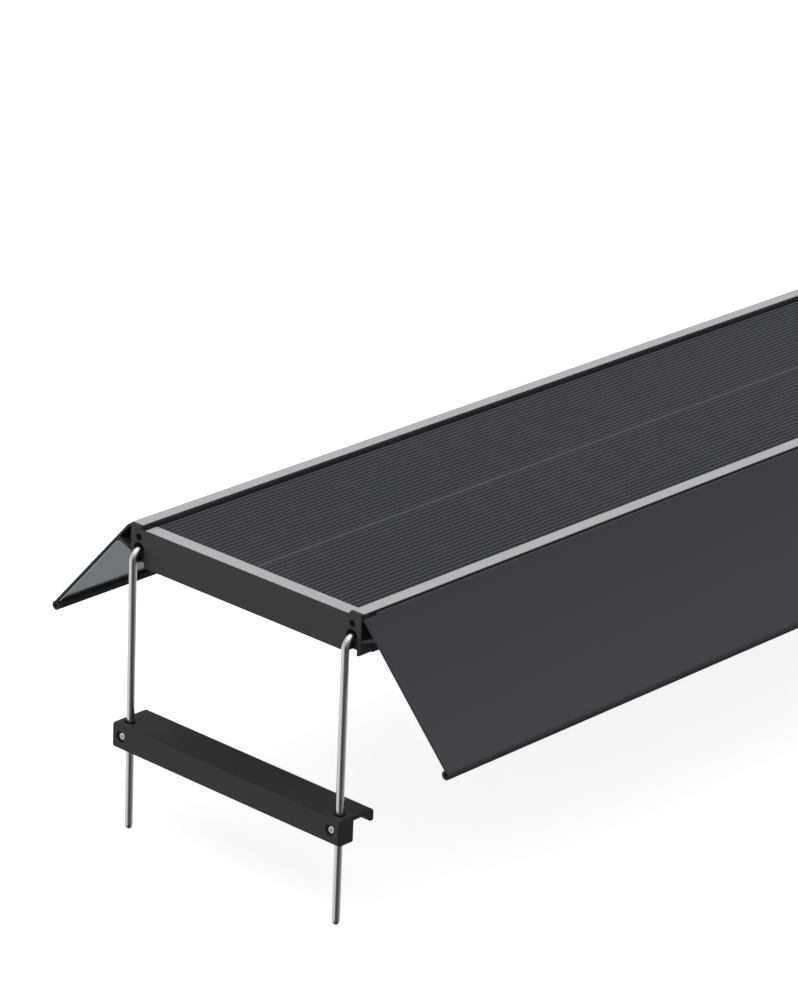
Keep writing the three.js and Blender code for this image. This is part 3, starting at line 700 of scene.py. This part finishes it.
def cap_side_tools(sign):
    """A cap's cuts at one side: the trim's seat, a groove level with the flange, rod slot, screw hole."""
    deep = END_DEPTH + 1
    y, screw = sign * ROD_Y, (sign * SCREW_Y, SCREW_Z)
    outer = sorted((sign * (TRIM_INNER - 1), sign * (HALF_WIDTH + 1)))
    inner = sorted((sign * FIELD_HALF, sign * RAIL_INNER))
    slot = [(y + SLOT_HALF, BODY_BOTTOM - 1), *arc((y, ROD_Z), SLOT_HALF, 0, 180, 20)]
    slot.append((y - SLOT_HALF, BODY_BOTTOM - 1))
    return [
        block((CAP_TOP_LIP, outer[0], SIDE_STRIP_LOW.z - GAP), (deep, outer[1], RAIL_TOP + 1)),
        block((1, inner[0], FLANGE_HIGH), (deep, inner[1], RAIL_TOP)),
        prism(slot, "X", -1, SLOT_DEPTH),
        prism(circle((y, ROD_Z), BUSH_OUTER + GAP), "X", SLOT_DEPTH - 1, deep),
        prism(circle(screw, SCREW_BORE), "X", -1, SCREW_SEAT),
        prism(circle(screw, SHANK_BORE), "X", SCREW_SEAT - 1, deep),
    ]


def end_cap(end):
    """A cast cap with a slot for each rod, recessed screws and, on the right, the power inlet."""
    deep = END_DEPTH + 1
    corners = [(-HALF_WIDTH, BODY_BOTTOM, CAP_BOTTOM_CORNER), (HALF_WIDTH, BODY_BOTTOM, CAP_BOTTOM_CORNER)]
    corners += [(HALF_WIDTH, RAIL_TOP, SIDE_EDGE), (-HALF_WIDTH, RAIL_TOP, SIDE_EDGE)]
    face = softened(prism(rounded(corners, 6), "X", 0, END_DEPTH), 0.5, 3)
    jaw_end = CAP_HIGH.x + HALF
    jaws = [
        block((END_DEPTH - 1, -JAW_HALF, low), (jaw_end, JAW_HALF, high))
        for low, high in ((BODY_BOTTOM, LEDGE_TOP), (BOSS_BOTTOM, BOSS_BOTTOM + JAW_THICKNESS))
    ]
    field = FIELD_HALF + GAP
    pocket_mouth = BOSS_BOTTOM + JAW_THICKNESS + 1
    tools = [
        block((-1, GAP - TRIM_INNER, DECK_TOP), (deep, TRIM_INNER - GAP, RAIL_TOP + 1)),
        block((DECK_LIP, -field, STRIP_LOW.z - GAP), (deep, field, RAIL_TOP)),
        block((CAP_WALL, -POCKET_HALF, POCKET_FLOOR), (END_DEPTH - 1.5, POCKET_HALF, POCKET_ROOF)),
        block((CAP_WALL, -POCKET_HALF, pocket_mouth), (deep, POCKET_HALF, POCKET_ROOF)),
        *cap_side_tools(-1),
        *cap_side_tools(1),
    ]
    if end == "right":
        tools.append(prism(circle((0, INLET_Z), INLET_RADIUS + GAP), "X", -1, CAP_WALL + 1))
    return carved(carved(face, jaws, "UNION"), tools)


def cap_screw(y):
    """A machine screw with a cylindrical head and a hexagon socket."""
    low, high = SCREW_LOW.x + HALF, SCREW_HIGH.x + HALF
    head, shank = (SCREW_HIGH.y - SCREW_LOW.y) / 2, SCREW_SHANK
    seat = low + 1.7  # where the head meets the shoulder of its hole
    profile = [(0, low), (head - 0.3, low), (head, low + 0.3), (head, seat), (shank, seat)]
    profile += [(shank, high - 0.5), (shank - 0.5, high), (0, high)]
    centre = (y, SCREW_Z)
    return carved(lathe(profile, "X", centre), [hexagon(1.2, "X", low - 1, low + 1.1, centre)])


def bush(y):
    """The nylon ring that a rod runs in, flared at its mouth."""
    low, high = (corner.x + HALF for corner in span("left_rear_rod_bush"))
    bore = ROD_RADIUS + GAP
    profile = [(bore + 0.3, low), (BUSH_OUTER - 0.2, low), (BUSH_OUTER, low + 0.2), (BUSH_OUTER, high)]
    profile += [(bore, high), (bore, low + 0.3)]
    return lathe(profile, "X", (y, ROD_Z))


def rod(y, around=32):
    """A steel rod: straight out of the lamp, a quarter bend, then down to a tapered tip."""
    bend_x = ROD_BEND - ROD_STANDOFF
    bend_z = ROD_Z - ROD_BEND
    chamfer = 0.5
    stations = [(ROD_INSERT, ROD_Z, 90, ROD_RADIUS - chamfer), (ROD_INSERT - chamfer, ROD_Z, 90, ROD_RADIUS)]
    for x, z in arc((bend_x, bend_z), ROD_BEND, 90, 180, 16):
        slope = math.degrees(math.atan2(z - bend_z, x - bend_x))
        stations.append((x, z, slope, ROD_RADIUS))
    for height, inset in ((3, 0), (1.2, 0.5), (0.3, 1.1), (0, 1.5)):
        stations.append((-ROD_STANDOFF, height, 180, ROD_RADIUS - inset))
    bm = bmesh.new()
    rings = []
    for x, z, slope, radius in stations:
        normal = Vector((math.cos(math.radians(slope)), 0, math.sin(math.radians(slope))))
        ring = [Vector((x, y + b, z)) + normal * a for a, b in circle((0, 0), radius, around)]
        rings.append([bm.verts.new(point) for point in ring])
    for near, far in zip(rings, rings[1:]):
        skin(bm, near, far)
    bm.faces.new(rings[0])
    bm.faces.new(rings[-1])
    bmesh.ops.recalc_face_normals(bm, faces=bm.faces)
    return bm


PAD_LOW, PAD_HIGH = span("left_rim_pad")
GRUB_LOW, GRUB_HIGH = span("left_rear_grub_screw")
GRUB_Z = (GRUB_LOW.z + GRUB_HIGH.z) / 2
GRUB_RADIUS = (GRUB_HIGH.z - GRUB_LOW.z) / 2
HOOK_THICKNESS = 3.2
HOOK_FILLET = 7
LIP_THICKNESS = 3
LIP_HEIGHT = 8.4  # from the bar's top to the lip's lower edge
BAR_EDGE, HOOK_EDGE, LIP_EDGE = 2, 3, 1
END_EDGE = 1.3  # rounding round the bar's two ends
ROD_COUNTERBORE, GRUB_COUNTERBORE = 3.75, 3.8  # radii, each 1 mm deep


def clamp_bar():
    """A block with rods through it and a hook behind, for the tank's rim."""
    front, back = BAR_LOW.x + HALF, BAR_HIGH.x + HALF
    low, high = BAR_LOW.z, BAR_HIGH.z
    under = high - HOOK_THICKNESS
    lip_low = high - LIP_HEIGHT
    fillet = (back - LIP_THICKNESS - HOOK_FILLET, under - HOOK_FILLET)
    fillet_end = math.degrees(math.asin((lip_low - fillet[1]) / HOOK_FILLET))
    section = [(0, low), (0, under), *arc(fillet, HOOK_FILLET, 90, fillet_end, 12)]
    section += arc((back - LIP_EDGE, lip_low + LIP_EDGE), LIP_EDGE, -90, 0, 4)
    section += arc((back - HOOK_EDGE, high - HOOK_EDGE), HOOK_EDGE, 0, 90)
    section += arc((front + BAR_EDGE, high - BAR_EDGE), BAR_EDGE, 90, 180)
    section += arc((front + BAR_EDGE, low + BAR_EDGE), BAR_EDGE, 180, 270)
    tools = []
    for y in (-ROD_Y, ROD_Y):
        tools += [
            prism(circle((-ROD_STANDOFF, y), ROD_RADIUS + GAP), "Z", low - 1, high + 1),
            prism(circle((-ROD_STANDOFF, y), ROD_COUNTERBORE), "Z", high - 1, high + 1),
            prism(circle((y, GRUB_Z), GRUB_RADIUS + GAP), "X", front - 1, -ROD_STANDOFF),
            prism(circle((y, GRUB_Z), GRUB_COUNTERBORE), "X", front - 1, front + 1),
        ]
    blank = softened(prism(section, "Y", -HALF_WIDTH, HALF_WIDTH), END_EDGE, 4)
    return carved(blank, tools)


def grub_screw(y):
    """A set screw with a hexagon socket, a thread and a cone point."""
    front, back = GRUB_LOW.x + HALF, GRUB_HIGH.x + HALF
    pitch = 0.7
    turns = int((back - front - 1.2) / pitch)
    profile = [(0, front), (GRUB_RADIUS - 0.4, front)]
    for turn in range(turns):
        start = front + 0.3 + turn * pitch
        profile += [(GRUB_RADIUS, start), (GRUB_RADIUS, start + 0.2), (GRUB_RADIUS - 0.35, start + 0.5)]
    profile += [(GRUB_RADIUS - 0.1, back - 0.8), (GRUB_RADIUS - 0.9, back), (0, back)]
    centre = (y, GRUB_Z)
    return carved(lathe(profile, "X", centre), [hexagon(1.45, "X", front - 1, front + 1.8, centre)])


def rim_pad():
    """A rubber pad with ribs across the rim it rests on."""
    start, end = PAD_LOW.x + HALF, PAD_HIGH.x + HALF
    ribs = 4
    pitch = (end - start) / ribs
    outline = [(end, PAD_HIGH.z), (start, PAD_HIGH.z)]
    for rib in range(ribs):
        x = start + rib * pitch
        outline += [(x, PAD_LOW.z), (x + 0.6 * pitch, PAD_LOW.z)]
        if rib < ribs - 1:
            outline += [(x + 0.7 * pitch, PAD_LOW.z + 0.4), (x + 0.9 * pitch, PAD_LOW.z + 0.4)]
    outline.append((end, PAD_LOW.z))
    return softened(prism(outline, "Y", PAD_LOW.y, PAD_HIGH.y), 0.08, 1)


def inlet():
    """The power inlet: a threaded barrel with a pin in its bore."""
    start, end = HALF - INLET_HIGH.x, HALF - INLET_LOW.x
    radius, bore, floor = INLET_RADIUS, 3.2, 8
    pin, tip = 1, 2.2
    pitch, turns, thread_start = 0.8, 6, 3.4
    profile = [(0, tip + 0.4), (pin - 0.4, tip), (pin, tip + 0.4), (pin, floor), (bore, floor)]
    profile += [(bore, start + 0.3), (bore + 0.3, start), (radius - 0.4, start), (radius, start + 0.4)]
    for turn in range(turns):
        x = thread_start + turn * pitch
        profile += [(radius, x), (radius - pitch / 2, x + pitch / 2)]
    profile += [(radius, end - 0.5), (radius, end), (0, end)]
    return lathe(profile, "X", (0, INLET_Z), 48)


def inlet_nut():
    low, high = span("power_inlet_nut")
    start, end = HALF - high.x, HALF - low.x
    corners = arc((0, INLET_Z), (high.y - low.y) / 2, 0, 300, 5)
    return softened(prism(corners, "X", start, end, [circle((0, INLET_Z), INLET_RADIUS + GAP)]), 0.25)


# ---- Every piece ----------------------------------------------------------------------------
make("heat_sink_fine", heat_sink(), "fins", "heat_sink")
make("lens_panel_fine", softened(block(*span("lens_panel")), 0.3), "lens", "lens_panel")

for side, turn in SIDES.items():
    make(f"{side}_rail_fine", rail(), "anodised", f"{side}_rail", turn)
    make(f"{side}_strip_fine", strip(f"{side}_rail_strip"), "bright", f"{side}_rail_strip")
    make(f"{side}_shade_fine", shade(side), "shade", f"{side}_shade", turn)
    make(f"{side}_mirror_fine", liner(side), "mirror", f"{side}_shade_mirror", turn)
    make(f"{side}_seal_fine", seal(f"{side}_lens_seal"), "rubber", f"{side}_lens_seal")

for third in ("left", "middle", "right"):
    board = f"{third}_led_board"
    make(f"{board}_fine", led_board(board), "board", board)
    make(f"{third}_led_packages", led_packages(board), "board", board)
    make(f"{third}_led_domes", led_domes(board), "phosphor", board)
    for side in SIDES:
        screw = f"{third}_board_screw_{side}"
        make(f"{screw}_fine", board_screw(screw), "steel", screw)

make("control_board_fine", control_board(), "control", "control_board")
for name, size in CONTROL_CHIPS.items():
    make(f"control_{name}", chip(size), "plastic", "control_board")
make("control_cover_fine", control_cover(), "plastic", "control_cover")

for end, place in ENDS.items():
    make(f"{end}_end_cap_fine", end_cap(end), "anodised", f"{end}_end_cap", place)
    make(f"{end}_end_strip_fine", strip(f"{end}_end_strip"), "bright_across", f"{end}_end_strip")
    make(f"{end}_end_seal_fine", seal(f"{end}_lens_seal"), "rubber", f"{end}_lens_seal")
    make(f"{end}_clamp_bar_fine", clamp_bar(), "bar", f"{end}_clamp_bar", place)
    make(f"{end}_rim_pad_fine", rim_pad(), "rubber", f"{end}_rim_pad", place)
    for side in SIDES:
        sign = 1 if (side == "rear") == (end == "left") else -1  # the right end is turned half round
        label = f"{end}_{side}"
        make(f"{label}_rod_fine", rod(sign * ROD_Y), "steel", f"{label}_rod", place)
        make(f"{label}_bush_fine", bush(sign * ROD_Y), "nylon", f"{label}_rod_bush", place)
        make(f"{label}_cap_screw_fine", cap_screw(sign * SCREW_Y), "plastic", f"{label}_cap_screw", place)
        make(f"{label}_grub_fine", grub_screw(sign * ROD_Y), "steel", f"{label}_grub_screw", place)

make("power_inlet_fine", inlet(), "plastic", "power_inlet", ENDS["right"])
make("power_inlet_nut_fine", inlet_nut(), "steel", "power_inlet_nut", ENDS["right"])


# ---- Camera ---------------------------------------------------------------------------------
CAMERA_AZIMUTH, CAMERA_ELEVATION, CAMERA_ROLL = -48.02, 21.75, 2.31  # degrees
CAMERA_DISTANCE, CAMERA_LENS = 2794.4, 160.4
AIM_INWARD, AIM_REARWARD = 153.6, 15.8  # the point looked at, from the end strip's edge and the middle


def make_camera():
    """A long lens that looks down on the lamp's left end."""
    angles = (CAMERA_AZIMUTH, CAMERA_ELEVATION, CAMERA_ROLL)
    azimuth, elevation, roll = (math.radians(angle) for angle in angles)
    aim = Vector((STRIP_LOW.x + AIM_INWARD, AIM_REARWARD, DECK_TOP)) * MM
    back = Vector((
        math.sin(azimuth) * math.cos(elevation),
        -math.cos(azimuth) * math.cos(elevation),
        math.sin(elevation),
    ))
    camera = bpy.data.objects.new("camera", bpy.data.cameras.new("camera"))
    camera.data.lens = CAMERA_LENS
    camera.data.clip_end = 100
    turn = back.to_track_quat("Z", "Y").to_matrix().to_4x4() @ Matrix.Rotation(roll, 4, "Z")
    camera.matrix_world = Matrix.Translation(aim + back * CAMERA_DISTANCE * MM) @ turn
    bpy.context.scene.collection.objects.link(camera)
    bpy.context.scene.camera = camera


# ---- Floor and light ------------------------------------------------------------------------
def make_floor():
    """A wide floor, lit to white, that shows only from above."""
    bm = bmesh.new()
    bmesh.ops.create_grid(bm, x_segments=1, y_segments=1, size=30)
    mesh = bpy.data.meshes.new("floor")
    bm.to_mesh(mesh)
    bm.free()
    floor = bpy.data.objects.new("floor", mesh)
    bpy.context.scene.collection.objects.link(floor)
    finish = Finish("floor", roughness=0.9, Specular_IOR_Level=0.0, Emission_Strength=0.74)
    finish.shader.inputs["Base Color"].default_value = (0.6, 0.6, 0.6, 1)
    finish.shader.inputs["Emission Color"].default_value = (1, 1, 1, 1)
    clear = finish.node("ShaderNodeBsdfTransparent")
    mix = finish.node("ShaderNodeMixShader")
    finish.link(finish.node("ShaderNodeNewGeometry").outputs["Backfacing"], mix.inputs["Fac"])
    finish.link(finish.shader.outputs["BSDF"], mix.inputs[1])
    finish.link(clear.outputs["BSDF"], mix.inputs[2])
    finish.link(mix.outputs["Shader"], finish.tree.nodes["Material Output"].inputs["Surface"])
    floor.data.materials.append(finish.material)
    floor.visible_glossy = False
    floor.visible_diffuse = False


# Brightness of the studio below and near the horizon: the bearing from the camera in degrees, to the
# left where it is negative, and the level there. The camera's own side is dark.
LOW_LEVELS = (
    (-180, 0.7), (-90, 0.95), (-45, 0.75), (-22, 0.16), (12, 0.06), (60, 0.17), (100, 0.4), (180, 0.75)
)
# Brightness above the horizon: height of the direction, from 0 to 1, and the level there.
HIGH_LEVELS = ((0.0, 0.5), (0.45, 0.6), (1.0, 1.5))


def level_ramp(tree, stops):
    """A ramp of greys through (position, level) stops."""
    node = tree.nodes.new("ShaderNodeValToRGB")
    ramp = node.color_ramp
    while len(ramp.elements) < len(stops):
        ramp.elements.new(0.5)
    for element, (position, level) in zip(ramp.elements, stops):
        element.position = position
        element.color = (level, level, level, 1)
    return node


def make_world():
    """A studio that is bright overhead and behind, and dark low down on the camera's side."""
    world = bpy.data.worlds.new("studio")
    world.use_nodes = True
    bpy.context.scene.world = world
    tree = world.node_tree
    direction = tree.nodes.new("ShaderNodeTexCoord").outputs["Generated"]
    height = tree.nodes.new("ShaderNodeSeparateXYZ")
    tree.links.new(direction, height.inputs["Vector"])
    turned = tree.nodes.new("ShaderNodeMapping")
    turned.inputs["Rotation"].default_value = (0, 0, math.radians(90 - CAMERA_AZIMUTH))
    tree.links.new(direction, turned.inputs["Vector"])
    bearing = tree.nodes.new("ShaderNodeTexGradient")
    bearing.gradient_type = "RADIAL"
    tree.links.new(turned.outputs["Vector"], bearing.inputs["Vector"])
    low = level_ramp(tree, [(0.5 + angle / 360, level) for angle, level in LOW_LEVELS])
    high = level_ramp(tree, HIGH_LEVELS)
    tree.links.new(bearing.outputs["Fac"], low.inputs["Fac"])
    tree.links.new(height.outputs["Z"], high.inputs["Fac"])
    horizon = map_range(tree, height.outputs["Z"], 0, 1, -0.1, 0.5)
    whole = mix_colours(tree, horizon, low.outputs["Color"], high.outputs["Color"])
    depth = map_range(tree, height.outputs["Z"], 0.35, 1, -0.6, -0.45)  # darker straight down
    background = tree.nodes["Background"]
    tree.links.new(whole, background.inputs["Color"])
    tree.links.new(depth, background.inputs["Strength"])


make_camera()
make_floor()
make_world()
bpy.context.scene.view_settings.view_transform = "Standard"
